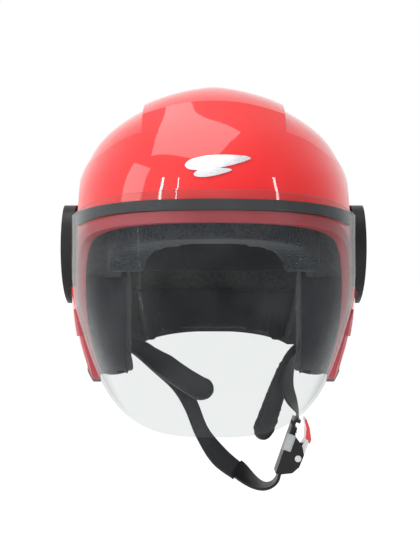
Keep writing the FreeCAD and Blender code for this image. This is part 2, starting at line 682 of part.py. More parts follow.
def make_buckle_lever():
    """Lever with its pawl; the hub is forked to leave room for the spring."""
    y = CHEEK - 2.4
    hub = rod_y(4.2, -y, y, PIN_U, PIN_N)
    plate = slab_y([(PIN_U, PIN_N + 4.2), (-9.0, 12.6), (-11.5, 11.4), (-11.5, 9.4), (-8.5, 8.9),
                    (PIN_U - 3.6, PIN_N - 2.0)], -y, y)
    pawl = slab_y([(PIN_U - 4.0, PIN_N - 1.5), (-3.4, 9.4), (-3.6, 2.2), (-1.2, 0.9), (0.6, 3.4)], -8.0, 8.0)
    body = fuse_all([hub, plate, pawl])
    gap = box(PIN_U - 5.2, PIN_U + 6, -4.0, 4.0, PIN_N - 7, PIN_N + 5.5)
    return body.cut(gap).cut(rod_y(2.06, -y - 1, y + 1, PIN_U, PIN_N))


def make_lever_tab():
    """Red finger tab over the end of the lever."""
    y = CHEEK - 2.4
    outline = [(-8.8, 12.9), (-8.8, 13.7), (-12.5, 14.0), (-22, 9.2), (-28.5, 4.0), (-27.6, 2.3), (-21, 6.4),
               (-12.2, 8.8), (-11.8, 9.4), (-11.8, 11.6)]
    return slab_y(outline, -y, y)


def make_buckle_spring():
    """Torsion spring round the pin with one leg on the body floor."""
    radius = 3.1
    wire = 0.42
    turns = 4.0
    pitch = 1.6
    helix = Part.makeHelix(pitch, pitch * turns, radius)
    ring = Part.Wire(Part.makeCircle(wire, V(radius, 0, 0), V(0, 1, 0)))
    coil = Part.Wire(helix.Edges).makePipeShell([ring], True, True)
    coil.rotate(V(0, 0, 0), V(1, 0, 0), -90)
    coil.translate(V(PIN_U, -pitch * turns / 2, PIN_N))
    leg = Part.makeCylinder(wire, 7.4, V(PIN_U + radius, -pitch * turns / 2, PIN_N + 0.2), V(0, 0, -1))
    return coil.fuse(leg)


STRIP_THICK = 2.6
STRIP_N0 = -3.6


def make_ratchet_strip():
    """Toothed strip: straight inside the buckle, curved below it down to the webbing."""
    n = STRIP_N0 + STRIP_THICK / 2
    x_in = -BUCKLE_LENGTH / 2 + 8.0
    x_out = BUCKLE_LENGTH / 2 + 2.0
    width = STRAP_WIDTH - 1.6
    straight = box(x_in, x_out, -width / 2, width / 2, STRIP_N0, STRIP_N0 + STRIP_THICK)
    teeth = []
    for i in range(11):
        x = x_in + 2.0 + i * 3.0
        teeth.append(slab_y([(x, STRIP_N0 + STRIP_THICK - 0.1), (x + 2.2, STRIP_N0 + STRIP_THICK - 0.1),
                             (x + 2.2, STRIP_N0 + STRIP_THICK + 1.2)], -7.5, 7.5))
    entry = BUCKLE_AT + BUCKLE_DOWN * (x_out - 0.5) + BUCKLE_OUT * n
    ahead = BUCKLE_AT + BUCKLE_DOWN * (x_out + 5.0) + BUCKLE_OUT * n
    low = strap_point(50.0, 0.0, -212.6)
    mid = strap_point(36.0, 0.0, -209.0)
    end = strap_point(20.5, 0.0, -196.6)
    route = [(tuple(entry), (0, 1, 0)), (tuple(ahead), (0, 1, 0)), (low, (0, 1, 0.05)),
             (mid, (0.15, 0.9, 0.35)), (end, (0.3, 0.75, 0.6))]
    curved = ribbon(route, width, STRIP_THICK)
    return place_buckle(fuse_all([straight] + teeth)).fuse(curved)


def main():
    os.makedirs("parts", exist_ok=True)
    shell, foam = make_shell_parts()
    nodes = {}
    base_plate = make_base_plate()
    screws = [make_plate_screw(y, z) for y, z in PLATE_SCREWS]
    nuts = [make_plate_nut(y, z) for y, z in PLATE_SCREWS]
    rivet = make_strap_rivet()
    spacer = make_rivet_spacer()
    holes = [rod_x(SCREW_RADIUS + 0.1, RECESS_FLOOR - 12, RECESS_FLOOR + 2, y, z) for y, z in PLATE_SCREWS]
    holes.append(rod_x(SCREW_RADIUS + 0.05, HANGER_X, SHELL_HALF_WIDTH + 4, ANCHOR_Y, ANCHOR_Z))
    holes.append(rod_x(6.6, SHELL_HALF_WIDTH - 1.2, SHELL_HALF_WIDTH + 9, ANCHOR_Y, ANCHOR_Z))
    pockets = [rod_x(8.4, RECESS_FLOOR - SHELL_WALL - 13, RECESS_FLOOR, y, z) for y, z in PLATE_SCREWS]
    shell = cut_all(shell, holes + [mirror_x(h) for h in holes])
    foam = cut_all(foam, pockets + [mirror_x(p) for p in pockets])
    face_trim, neck_trim = make_edge_trims(shell)
    nodes["outer_shell"] = shell
    nodes["eps_liner"] = foam
    nodes["comfort_liner"] = make_comfort_liner()
    nodes["brow_pad"] = make_brow_pad()
    nodes["left_cheek_pad"] = make_cheek_pad()
    nodes["right_cheek_pad"] = mirror_x(nodes["left_cheek_pad"])
    nodes["neck_pad"] = make_neck_pad()
    nodes["face_edge_trim"] = face_trim
    nodes["neck_edge_trim"] = neck_trim
    nodes["brow_seal"] = make_brow_seal()
    nodes["front_emblem"] = make_emblem()
    nodes["visor"] = make_visor()
    for name, shape in (("ratchet_ring", make_ratchet_ring()), ("base_plate", base_plate),
                        ("detent_spring", make_detent_spring()), ("side_cover", make_side_cover()),
                        ("pivot_screw", make_pivot_screw()), ("strap_hanger", make_hanger()),
                        ("strap_spacer", spacer)):
        nodes["left_" + name] = shape
        nodes["right_" + name] = mirror_x(shape)
    nodes["base_plate_screws"] = Part.makeCompound(screws + [mirror_x(s) for s in screws])
    nodes["base_plate_nuts"] = Part.makeCompound(nuts + [mirror_x(n) for n in nuts])
    nodes["strap_rivets"] = Part.makeCompound([rivet, mirror_x(rivet)])
    nodes["left_strap"] = make_strap(LEFT_ROUTE, False)
    nodes["right_strap"] = make_strap(RIGHT_ROUTE, True)
    nodes["right_strap_pad"] = make_pad(RIGHT_PAD, PAD_THICK / 2 + STRAP_THICK / 2 + 0.4)
    nodes["left_strap_pad"] = make_pad(LEFT_PAD, -(PAD_THICK / 2 + STRAP_THICK / 2 + 0.4))
    nodes["buckle_body"] = place_buckle(make_buckle_body())
    nodes["buckle_pin"] = place_buckle(make_buckle_pin())
    nodes["buckle_lever"] = place_buckle(make_buckle_lever())
    nodes["lever_tab"] = place_buckle(make_lever_tab())
    nodes["buckle_spring"] = place_buckle(make_buckle_spring())
    nodes["ratchet_strip"] = make_ratchet_strip()
    for name, shape in nodes.items():
        shape.exportStep("parts/" + name + ".step")
        print(name, len(shape.Solids), round(shape.Volume / 1000.0, 2), shape.isValid(), shape.BoundBox)


main()
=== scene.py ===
import json
import math
import bmesh
import bpy
import numpy as np
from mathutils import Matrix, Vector
from mathutils.bvhtree import BVHTree


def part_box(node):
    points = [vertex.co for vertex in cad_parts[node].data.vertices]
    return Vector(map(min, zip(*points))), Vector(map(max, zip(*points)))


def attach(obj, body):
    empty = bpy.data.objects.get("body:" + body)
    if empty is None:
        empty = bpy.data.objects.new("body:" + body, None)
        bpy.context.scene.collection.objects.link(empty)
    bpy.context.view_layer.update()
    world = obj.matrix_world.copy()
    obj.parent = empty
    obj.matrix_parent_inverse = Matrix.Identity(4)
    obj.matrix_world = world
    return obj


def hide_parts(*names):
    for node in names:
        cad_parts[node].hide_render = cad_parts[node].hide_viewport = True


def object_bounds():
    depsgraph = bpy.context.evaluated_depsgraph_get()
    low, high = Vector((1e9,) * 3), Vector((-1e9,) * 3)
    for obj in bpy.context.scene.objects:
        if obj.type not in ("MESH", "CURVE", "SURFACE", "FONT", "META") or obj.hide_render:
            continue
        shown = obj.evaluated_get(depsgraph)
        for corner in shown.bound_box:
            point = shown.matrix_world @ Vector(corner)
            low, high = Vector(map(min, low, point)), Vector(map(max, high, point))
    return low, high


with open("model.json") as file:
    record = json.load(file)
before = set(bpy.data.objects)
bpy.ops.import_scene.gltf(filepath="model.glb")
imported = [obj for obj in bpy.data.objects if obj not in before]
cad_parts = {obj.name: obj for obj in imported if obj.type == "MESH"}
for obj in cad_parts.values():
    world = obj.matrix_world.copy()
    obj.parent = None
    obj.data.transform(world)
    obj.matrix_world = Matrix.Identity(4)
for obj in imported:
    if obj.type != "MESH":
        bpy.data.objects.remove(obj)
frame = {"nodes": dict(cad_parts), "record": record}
CAD_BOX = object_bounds()
NODES = frame["nodes"]
SCENE = bpy.context.scene
MM = 0.001

# Places and distances are in metres, the camera's lens and sensor in millimetres.
CLOTH_STEPS = 20
SEAM_WIDTH = 2.2 * MM
HEAD_CENTRE = np.array([0.0, 0.012, 0.0])
FLOOR_DROP = 0.16
FLOOR_RADIUS = 80.0
CAMERA_PLACE = (-0.00316, -1.0, -0.027)
CAMERA_LENS = 71.2
CAMERA_SENSOR = 36.0


# ---------------------------------------------------------------- node tree helpers
class Finish:
    """A procedural material: the principled shader and short ways to feed it."""

    def __init__(self, name, rough, **uniform):
        self.mat = bpy.data.materials.new(name)
        self.mat.use_nodes = True
        self.tree = self.mat.node_tree
        self.bsdf = self.tree.nodes["Principled BSDF"]
        self.out = self.tree.nodes["Material Output"]
        self.bsdf.inputs["Roughness"].default_value = rough
        for key, value in uniform.items():
            self.bsdf.inputs[key.replace("_", " ")].default_value = value
        coords = self.tree.nodes.new("ShaderNodeTexCoord")
        self.place = coords.outputs["Object"]
        self.uv = coords.outputs["UV"]

    def node(self, kind, inputs, **attrs):
        made = self.tree.nodes.new(kind)
        for key, value in attrs.items():
            setattr(made, key, value)
        for key, value in inputs.items():
            if isinstance(value, bpy.types.NodeSocket):
                self.tree.links.new(value, made.inputs[key])
            else:
                made.inputs[key].default_value = value
        return made

    def noise(self, scale, detail=3.0, where=None, distortion=0.0):
        return self.node("ShaderNodeTexNoise", {
            "Vector": where or self.place, "Scale": scale, "Detail": detail, "Distortion": distortion,
        }).outputs["Fac"]

    def cells(self, scale):
        return self.node("ShaderNodeTexVoronoi", {"Vector": self.place, "Scale": scale}).outputs["Distance"]

    def math(self, operation, a, b=0.0, c=0.0):
        return self.node("ShaderNodeMath", {0: a, 1: b, 2: c}, operation=operation).outputs[0]

    def span(self, value, low, high, to_low=0.0, to_high=1.0):
        return self.node("ShaderNodeMapRange", {
            "Value": value, "From Min": low, "From Max": high, "To Min": to_low, "To Max": to_high,
        }).outputs["Result"]

    def axes(self, where=None):
        return self.node("ShaderNodeSeparateXYZ", {0: where or self.place}).outputs

    def ripple(self, value, pitch):
        """Rounded ridges, from 0 to 1, one each pitch."""
        turn = self.math("MULTIPLY", value, math.pi / pitch)
        return self.math("ABSOLUTE", self.math("SINE", turn))

    def lattice(self, pitch):
        """Small bumps on every side of a shape, for knit and mesh cloth."""
        x, y, z = self.axes()
        total = self.math("ADD", self.ripple(x, pitch), self.ripple(y, pitch))
        return self.math("DIVIDE", self.math("ADD", total, self.ripple(z, pitch)), 3.0)

    def colour(self, share, low, high):
        ramp = self.node("ShaderNodeValToRGB", {0: share})
        ramp.color_ramp.elements[0].color = (*low, 1.0)
        ramp.color_ramp.elements[1].color = (*high, 1.0)
        self.tree.links.new(ramp.outputs["Color"], self.bsdf.inputs["Base Color"])

    def roughness(self, share, low, high):
        self.tree.links.new(self.span(share, 0.3, 0.7, low, high), self.bsdf.inputs["Roughness"])

    def bump(self, height, depth, strength=1.0, under=None):
        inputs = {"Height": height, "Distance": depth, "Strength": strength}
        if under is not None:
            inputs["Normal"] = under
        normal = self.node("ShaderNodeBump", inputs).outputs["Normal"]
        self.tree.links.new(normal, self.bsdf.inputs["Normal"])
        return normal


# ---------------------------------------------------------------- materials
def red_paint():
    """Solid red under clear lacquer with a faint orange peel."""
    f = Finish("red_paint", 0.4, Coat_Weight=1.0, Coat_Roughness=0.03, Coat_IOR=1.5,
               Specular_IOR_Level=0.15)
    f.colour(f.noise(9.0, 4.0), (0.56, 0.0045, 0.0055), (0.66, 0.008, 0.010))
    f.roughness(f.noise(60.0), 0.36, 0.46)
    peel = f.bump(f.noise(900.0, 2.0), 0.00002, 0.5)
    f.bump(f.noise(14.0, 1.0), 0.0002, 0.25, peel)
    return f.mat


def clear_visor():
    """Clear sheet: it passes light, darkens a little at its edges and mirrors more at a slant."""
    f = Finish("clear_visor", 0.03, IOR=1.58)
    f.bsdf.inputs["Base Color"].default_value = (0.62, 0.64, 0.64, 1.0)
    smear = f.noise(22.0, 5.0, distortion=0.6)
    f.roughness(smear, 0.015, 0.06)
    facing = f.node("ShaderNodeLayerWeight", {"Blend": 0.5}).outputs["Facing"]
    tint = f.node("ShaderNodeValToRGB", {0: facing})
    tint.color_ramp.elements[0].color = (0.880, 0.893, 0.890, 1.0)
    tint.color_ramp.elements[0].position = 0.60
    tint.color_ramp.elements[1].color = (0.50, 0.51, 0.51, 1.0)
    clear = f.node("ShaderNodeBsdfTransparent", {"Color": tint.outputs["Color"]})
    slant = f.math("MULTIPLY", f.math("POWER", facing, 4.0), 0.55)
    share = f.math("ADD", slant, f.span(smear, 0.4, 0.8, 0.009, 0.024))
    mix = f.node("ShaderNodeMixShader", {0: share, 1: clear.outputs[0], 2: f.bsdf.outputs[0]})
    f.tree.links.new(mix.outputs[0], f.out.inputs["Surface"])
    return f.mat


def plastic(name, low, high, rough, coat=0.0, shine=0.5):
    """Moulded surface with fine pores and slow waves."""
    f = Finish(name, rough, Coat_Weight=coat, Coat_Roughness=0.08, Specular_IOR_Level=shine)
    f.colour(f.noise(40.0, 4.0), low, high)
    f.roughness(f.noise(120.0, 4.0), rough - 0.06, rough + 0.08)
    pores = f.bump(f.cells(2200.0), 0.00003, 0.6)
    f.bump(f.noise(35.0), 0.0002, 0.15, pores)
    return f.mat


def metal(name, low, high, rough):
    """Brushed metal, with its lines along X."""
    f = Finish(name, rough, Metallic=1.0)
    brushed = (14.0, 260.0, 260.0)
    stretch = f.node("ShaderNodeMapping", {"Vector": f.place, "Scale": brushed}).outputs["Vector"]
    lines = f.noise(9.0, 3.0, stretch)
    f.colour(f.noise(70.0, 5.0), low, high)
    f.roughness(lines, rough - 0.08, rough + 0.12)
    f.bump(lines, 0.00003, 0.5)
    return f.mat


def beaded_foam():
    """Moulded polystyrene: round beads, with painted shade darkening the gaps between them."""
    f = Finish("foam", 0.8)
    beads = f.cells(330.0)
    # colour is lighter at bead centres and darker towards the gaps: painted shade between the beads
    f.colour(beads, (0.050, 0.050, 0.055), (0.022, 0.022, 0.025))
    f.bump(beads, 0.0006, 0.8)
    return f.mat


def cloth(name, low, high, pitch, sheen=0.25, depth=0.00012):
    """Knitted or woven cloth with a soft fuzz and painted shade between its stitches; pitch is the spacing
    of its stitches.
    """
    f = Finish(name, 0.9, Sheen_Weight=sheen, Sheen_Roughness=0.5, Specular_IOR_Level=0.25)
    stitch = f.lattice(pitch)
    # random tone plus painted shade: the colour darkens in the valleys between stitches
    tone_and_painted_shade = f.math("MULTIPLY_ADD", f.noise(45.0, 5.0), 0.55, f.math("MULTIPLY", stitch, 0.55))
    f.colour(tone_and_painted_shade, low, high)
    fuzz = f.bump(f.noise(2600.0, 2.0), 0.00008, 0.5)
    f.bump(stitch, depth, 0.9, fuzz)
    return f.mat


def mesh_cloth():
    """Spacer mesh: rows of small holes between round threads, with painted shade darkening the holes."""
    f = Finish("mesh_cloth", 0.85, Sheen_Weight=0.15, Sheen_Roughness=0.45, Specular_IOR_Level=0.25)
    open_part = f.span(f.cells(400.0), 0.25, 0.48)
    # random tone plus painted shade: the colour darkens in the holes
    f.colour(f.math("MULTIPLY_ADD", f.noise(60.0, 4.0), 0.25, f.math("MULTIPLY", open_part, 0.75)),
             (0.003, 0.0034, 0.005), (0.030, 0.034, 0.044))
    fuzz = f.bump(f.noise(2400.0, 2.0), 0.00008, 0.5)
    f.bump(open_part, 0.0006, 1.0, fuzz)
    return f.mat


def webbing():
    """Woven band: columns along it, picks across, half a pick out in every other column, with painted shade
    where the weave is low.
    """
    f = Finish("webbing", 0.62, Sheen_Weight=0.2, Sheen_Roughness=0.35, Specular_IOR_Level=0.25)
    u, v, _ = f.axes(f.uv)
    column = 1.9 * MM
    parity = f.math("FLOOR", f.math("DIVIDE", v, column))
    slant = f.math("MULTIPLY_ADD", parity, math.pi / 2, f.math("MULTIPLY", v, 900.0))
    pick = 1.25 * MM
    turn = f.math("MULTIPLY_ADD", u, math.pi / pick, slant)
    picks = f.math("ABSOLUTE", f.math("SINE", turn))
    weave = f.math("MULTIPLY", f.math("POWER", f.ripple(v, column), 0.5), f.math("POWER", picks, 0.6))
    # random tone plus painted shade: the colour darkens where the weave is low
    tone_and_painted_shade = f.math("MULTIPLY_ADD", f.noise(150.0, 4.0), 0.45, f.math("MULTIPLY", weave, 0.6))
    f.colour(tone_and_painted_shade, (0.006, 0.006, 0.0075), (0.034, 0.035, 0.041))
    f.bump(weave, 0.0003, 1.0)
    return f.mat


def blank_label():
    """Plain grey woven label."""
    f = Finish("blank_label", 0.45)
    f.colour(f.noise(180.0, 5.0), (0.30, 0.31, 0.32), (0.40, 0.41, 0.42))
    f.bump(f.lattice(0.8 * MM), 0.00006, 0.6)
    return f.mat


MATERIALS = {
    "red_paint": red_paint(),
    "foam": beaded_foam(),
    "lining": cloth("lining", (0.0045, 0.0052, 0.0075), (0.019, 0.021, 0.028), 1.6 * MM, 0.12),
    "mesh_cloth": mesh_cloth(),
    "red_rubber": plastic("red_rubber", (0.26, 0.020, 0.030), (0.40, 0.034, 0.048), 0.46),
    "black_rubber": plastic("black_rubber", (0.016, 0.016, 0.018), (0.030, 0.030, 0.033), 0.5,
                            shine=0.3),
    "silver_badge": metal("silver_badge", (0.60, 0.60, 0.62), (0.80, 0.80, 0.82), 0.30),
    "clear_visor": clear_visor(),
    "black_plastic": plastic("black_plastic", (0.005, 0.005, 0.006), (0.011, 0.011, 0.012), 0.40,
                             shine=0.28),
    "spring_steel": metal("spring_steel", (0.45, 0.45, 0.47), (0.60, 0.60, 0.62), 0.3),
    "dark_steel": metal("dark_steel", (0.06, 0.06, 0.065), (0.12, 0.12, 0.13), 0.36),
    "steel": metal("steel", (0.55, 0.55, 0.56), (0.72, 0.72, 0.73), 0.28),
    "webbing": webbing(),
    "strap_cloth": cloth("strap_cloth", (0.008, 0.009, 0.011), (0.036, 0.040, 0.046), 1.15 * MM, 0.2),
    "red_plastic": plastic("red_plastic", (0.50, 0.010, 0.014), (0.66, 0.018, 0.022), 0.26, coat=0.6),
}
THREAD = cloth("thread", (0.012, 0.012, 0.014), (0.050, 0.050, 0.056), 0.5 * MM, 0.3, 0.0001)
BINDING = cloth("binding", (0.006, 0.006, 0.008), (0.026, 0.027, 0.032), 0.8 * MM, 0.3, 0.00015)
LABEL = blank_label()

for part in frame["record"]["subparts"]:
    for used in NODES[part["node"]].material_slots:
        used.material = MATERIALS[part["material_slot"]]


# ---------------------------------------------------------------- mesh helpers
def add_object(name, mesh):
    made = bpy.data.objects.new(name, mesh)
    SCENE.collection.objects.link(made)
    return made


def add_mesh(name, points, faces, material, uvs=None, smooth=True):
    """A new object from points and faces; uvs holds one pair for each point."""
    mesh = bpy.data.meshes.new(name)
    mesh.from_pydata([tuple(p) for p in points], [], faces)
    if uvs is not None:
        layer = mesh.uv_layers.new(name="UVMap")
        for loop in mesh.loops:
            layer.data[loop.index].uv = uvs[loop.vertex_index]
    mesh.polygons.foreach_set("use_smooth", [smooth] * len(mesh.polygons))
    mesh.materials.append(material)
    mesh.validate()
    return add_object(name, mesh)


def get_points(piece):
    flat = np.empty(len(piece.data.vertices) * 3)
    piece.data.vertices.foreach_get("co", flat)
    return flat.reshape(-1, 3)


def set_points(piece, points):
    piece.data.vertices.foreach_set("co", np.asarray(points, float).ravel())
    piece.data.update()


def get_normals(piece):
    flat = np.empty(len(piece.data.vertices) * 3)
    piece.data.vertices.foreach_get("normal", flat)
    return flat.reshape(-1, 3)


def evaluated(piece):
    bpy.context.view_layer.update()
    return piece.evaluated_get(bpy.context.evaluated_depsgraph_get())


def bake(piece):
    """Applies the piece's modifiers."""
    old = piece.data
    piece.data = bpy.data.meshes.new_from_object(evaluated(piece))
    piece.modifiers.clear()
    bpy.data.meshes.remove(old)


def subdivide(piece):
    piece.modifiers.new("subdivide", "SUBSURF").levels = 1
    bake(piece)


def cad_copy(node, name):
    """The node's own surface with its split vertices welded."""
    piece = add_object(name, NODES[node].data.copy())
    mesh = bmesh.new()
    mesh.from_mesh(piece.data)
    bmesh.ops.remove_doubles(mesh, verts=mesh.verts, dist=0.00002)
    mesh.to_mesh(piece.data)
    mesh.free()
    return piece


def stuffed(node, name, voxel, cap, held, material, shrink, pressure=4.0):
    """Cloth filled with pressure over the shape of a CAD pad.

    held(points, normals) pins seams and backs, shrink is how far the free skin starts below the
    pad's surface, and cap is the furthest that any point may move.
    """
    piece = cad_copy(node, name)
    remesh = piece.modifiers.new("remesh", "REMESH")
    remesh.mode = "VOXEL"
    remesh.voxel_size = voxel
    bake(piece)
    start = get_points(piece)
    normals = get_normals(piece)
    pinned = held(start, normals)
    start = start - normals * (shrink * (1.0 - pinned))[:, None]
    set_points(piece, start)
    group = piece.vertex_groups.new(name="held")
    for index in np.nonzero(pinned > 0.02)[0]:
        group.add([int(index)], float(pinned[index]), "REPLACE")
    cloth_mod = piece.modifiers.new("cloth", "CLOTH")
    settings = cloth_mod.settings
    settings.quality = 4
    settings.use_pressure = True
    settings.uniform_pressure_force = pressure
    settings.tension_stiffness = 5.0
    settings.compression_stiffness = 5.0
    settings.bending_stiffness = 0.05
    settings.vertex_group_mass = "held"
    settings.effector_weights.gravity = 0.0
    cloth_mod.point_cache.frame_start = 1
    cloth_mod.point_cache.frame_end = CLOTH_STEPS
    for step in range(1, CLOTH_STEPS + 1):
        SCENE.frame_set(step)
    puffed = np.empty(len(start) * 3)
    evaluated(piece).data.vertices.foreach_get("co", puffed)
    piece.modifiers.clear()
    piece.vertex_groups.clear()
    SCENE.frame_set(1)
    move = puffed.reshape(-1, 3) - start
    size = np.linalg.norm(move, axis=1)
    move *= np.minimum(1.0, cap / np.maximum(size, 1e-9))[:, None]
    set_points(piece, start + move)
    subdivide(piece)
    piece.data.materials.clear()
    piece.data.materials.append(material)
    piece.data.polygons.foreach_set("use_smooth", [True] * len(piece.data.polygons))
    return piece


def sew(piece, gap, depth, width):
    """Presses a sewn channel along the points where gap(points, normals) is nearly zero."""
    points = get_points(piece)
    normals = get_normals(piece)
    near = gap(points, normals)
    set_points(piece, points - normals * (depth * np.exp(-(near / width) ** 2))[:, None])


def smooth_path(points, per_span=10):
    """Catmull-Rom points through the given ones."""
    pts = [np.array(p, float) for p in points]
    pts = [2 * pts[0] - pts[1]] + pts + [2 * pts[-1] - pts[-2]]
    out = []
    for a, b, c, d in zip(pts, pts[1:], pts[2:], pts[3:]):
        for k in range(per_span):
            t = k / per_span
            out.append(0.5 * (2 * b + (c - a) * t + (2 * a - 5 * b + 4 * c - d) * t * t
                              + (3 * b - a - 3 * c + d) * t ** 3))
    out.append(pts[-2])
    return np.array(out)


def unit(v):
    return v / np.maximum(np.linalg.norm(v, axis=-1, keepdims=True), 1e-12)


def distance_along(path):
    """Distance from the start of a path to each of its points."""
    return np.concatenate([[0], np.cumsum(np.linalg.norm(np.diff(path, axis=0), axis=1))])


def frames_along(path, across):
    """Unit vectors along a path, across it and normal to both, at each point."""
    along = unit(np.gradient(path, axis=0))
    wide = unit(across - along * (across * along).sum(1)[:, None])
    return along, wide, np.cross(along, wide)


def sweep(name, path, across, profile, material):
    """Sweeps a closed profile of (across, normal) pairs, with UV in metres."""
    _, wide, normal = frames_along(path, across)
    count = len(profile)
    length = distance_along(path)
    girth = distance_along(profile)
    points = []
    uvs = []
    for i, centre in enumerate(path):
        for j, (a, b) in enumerate(profile):
            points.append(centre + wide[i] * a + normal[i] * b)
            uvs.append((length[i], girth[j]))
    faces = []
    last = (len(path) - 1) * count
    for base in range(0, last, count):
        for j in range(count):
            k = (j + 1) % count
            faces.append((base + j, base + k, base + count + k, base + count + j))
    faces.append(tuple(range(count))[::-1])
    faces.append(tuple(range(last, last + count)))
    return add_mesh(name, points, faces, material, uvs)


def band_profile(width, thick):
    """Cross section of webbing: shallow columns and rounder selvedges."""
    columns = 10
    rise = 0.00012
    half = width / 2
    top = []
    steps = columns * 4
    for k in range(steps + 1):
        x = -half + width * k / steps
        edge = min(1.0, (half - abs(x)) / (0.6 * thick))
        column = rise * abs(math.sin(math.pi * columns * k / steps))
        y = thick / 2 * (0.55 + 0.45 * math.sqrt(max(edge, 0.0))) + column
        top.append((x, y))
    return np.array(top + [(x, -y) for x, y in reversed(top)])


def tube_profile(radius, flat, sides):
    """Oval section, flat times as thick as it is wide."""
    turns = [2 * math.pi * k / sides for k in range(sides)]
    return np.array([(radius * math.cos(turn), flat * radius * math.sin(turn)) for turn in turns])


def stitches(name, path, normals, body, pitch=2.6 * MM, length=1.8 * MM, radius=0.22 * MM):
    """One row of thread stitches, each a bent rod that dips at its ends."""
    path = np.array(path, float)
    normals = unit(np.array(normals, float))
    run = distance_along(path)
    rings = 5
    sides = 6
    last = rings - 1
    points = []
    faces = []
    start = pitch / 2
    while start + length < run[-1]:
        spots = []
        for k in range(rings):
            at = start + length * k / last
            spot = np.array([np.interp(at, run, path[:, i]) for i in range(3)])
            up = unit(np.array([np.interp(at, run, normals[:, i]) for i in range(3)]))
            lift = math.sin(math.pi * k / last) * radius * 1.3 - radius * 0.4
            spots.append((spot + up * lift, up))
        base = len(points)
        ahead = unit(spots[-1][0] - spots[0][0])
        for k, (spot, up) in enumerate(spots):
            size = radius * (0.55 if k in (0, last) else 1.0)
            wide = unit(np.cross(ahead, up))
            for s in range(sides):
                turn = math.pi * s / 3
                points.append(spot + (wide * math.cos(turn) + up * math.sin(turn)) * size)
        end = base + last * sides
        for ring in range(base, end, sides):
            for s in range(sides):
                n = (s + 1) % sides
                faces.append((ring + s, ring + n, ring + sides + n, ring + sides + s))
        faces.append(tuple(base + s for s in range(sides))[::-1])
        faces.append(tuple(end + s for s in range(sides)))
        start += pitch
    piece = add_mesh(name, points, faces, THREAD)
    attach(piece, body)


# ---------------------------------------------------------------- lining and pads
def side_view_edge(points):
    """Convex outline of a pad in its side view, as an array of (y, z)."""
    flat = sorted({(round(p[1], 5), round(p[2], 5)) for p in points})

    def half(ordered):
        """One side of the outline, keeping only the corners that turn outwards."""
        chain = []
        for p in ordered:
            while len(chain) > 1:
                a, b = chain[-2], chain[-1]
                if (b[0] - a[0]) * (p[1] - a[1]) - (b[1] - a[1]) * (p[0] - a[0]) > 0:
                    break
                chain.pop()
            chain.append(p)
        return chain[:-1]
    return np.array(half(flat) + half(flat[::-1]))


def outline_gap(points, outline):
    """Distance from each (y, z) to the outline."""
    best = np.full(len(points), 9.0)
    for a, b in zip(outline, np.roll(outline, -1, axis=0)):
        edge = b - a
        share = np.clip(((points - a) @ edge) / max(edge @ edge, 1e-12), 0, 1)
        best = np.minimum(best, np.linalg.norm(points - (a + share[:, None] * edge), axis=1))
    return best


def inward(points, normals):
    """Above zero where a face looks at the wearer's head."""
    to_head = unit(HEAD_CENTRE - points)
    return (normals * to_head).sum(1)


def make_cheek_pad(side):
    """Cheek cushion with a sewn ring inside its edge and one bar across it."""
    sign = 1.0 if side == "left" else -1.0
    node = side + "_cheek_pad"
    outline = side_view_edge(get_points(NODES[node]))
    low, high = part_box(node)
    face_x = low.x if sign > 0 else -high.x
    border = 13 * MM

    def seam_gap(points, normals):
        from_edge = outline_gap(points[:, 1:], outline)
        ring = np.abs(from_edge - border)
        bar = np.abs(points[:, 2] + 58 * MM + 0.25 * (points[:, 1] + 30 * MM))
        inside = from_edge > border
        gap = np.minimum(ring, np.where(inside, bar, 1.0))
        front = (points[:, 0] * sign < face_x + 9 * MM) & (normals[:, 0] * sign < -0.35)
        return np.where(front, gap, 1.0)

    def held(points, normals):
        back = np.clip((points[:, 0] * sign - face_x - 20 * MM) / (6 * MM), 0, 1)
        return np.maximum(back, np.exp(-(seam_gap(points, normals) / (4 * MM)) ** 2))

    pad = stuffed(node, side + "_cheek_cushion", voxel=4 * MM, cap=4 * MM, held=held,
                  material=MATERIALS["lining"], shrink=2.5 * MM)
    sew(pad, seam_gap, depth=1.6 * MM, width=SEAM_WIDTH)
    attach(pad, "helmet")
    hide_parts(node)


def make_liner():
    """Head lining in panels: two long seams, one round the crown and one over it."""
    panel = 26 * MM
    crown_height = 44 * MM

    def seam_gap(points, normals):
        panels = np.abs(np.abs(points[:, 0]) - panel)
        crown = np.abs(points[:, 2] - crown_height - 0.10 * points[:, 1])
        middle = np.abs(points[:, 1] - 10 * MM)
        over = np.where(points[:, 2] > crown_height, middle, 1.0)
        gap = np.minimum(np.minimum(panels, crown), over)
        return np.where(inward(points, normals) > 0.2, gap, 1.0)

    def held(points, normals):
        back = (inward(points, normals) < 0.1).astype(float)
        return np.maximum(back, np.exp(-(seam_gap(points, normals) / (5 * MM)) ** 2))

    pad = stuffed("comfort_liner", "quilted_lining", voxel=3.6 * MM, cap=2.5 * MM, held=held,
                  material=MATERIALS["lining"], shrink=0.6 * MM)
    sew(pad, seam_gap, depth=1.3 * MM, width=SEAM_WIDTH)
    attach(pad, "helmet")
    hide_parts("comfort_liner")


def make_neck_pad():
    """Neck roll with upright seams spaced evenly round the head."""
    spacing = 0.7
    radius = 90 * MM

    def seam_gap(points, normals):
        turn = np.arctan2(points[:, 0], points[:, 1] - 8 * MM)
        ribs = np.abs((turn + spacing / 2) % spacing - spacing / 2) * radius
        return np.where(inward(points, normals) > 0.2, ribs, 1.0)

    def held(points, normals):
        back = (inward(points, normals) < 0.0).astype(float)
        return np.maximum(back, np.exp(-(seam_gap(points, normals) / (4 * MM)) ** 2))

    pad = stuffed("neck_pad", "neck_roll", voxel=4 * MM, cap=3.5 * MM, held=held,
                  material=MATERIALS["lining"], shrink=1.5 * MM)
    sew(pad, seam_gap, depth=1.5 * MM, width=SEAM_WIDTH)
    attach(pad, "helmet")
    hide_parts("neck_pad")


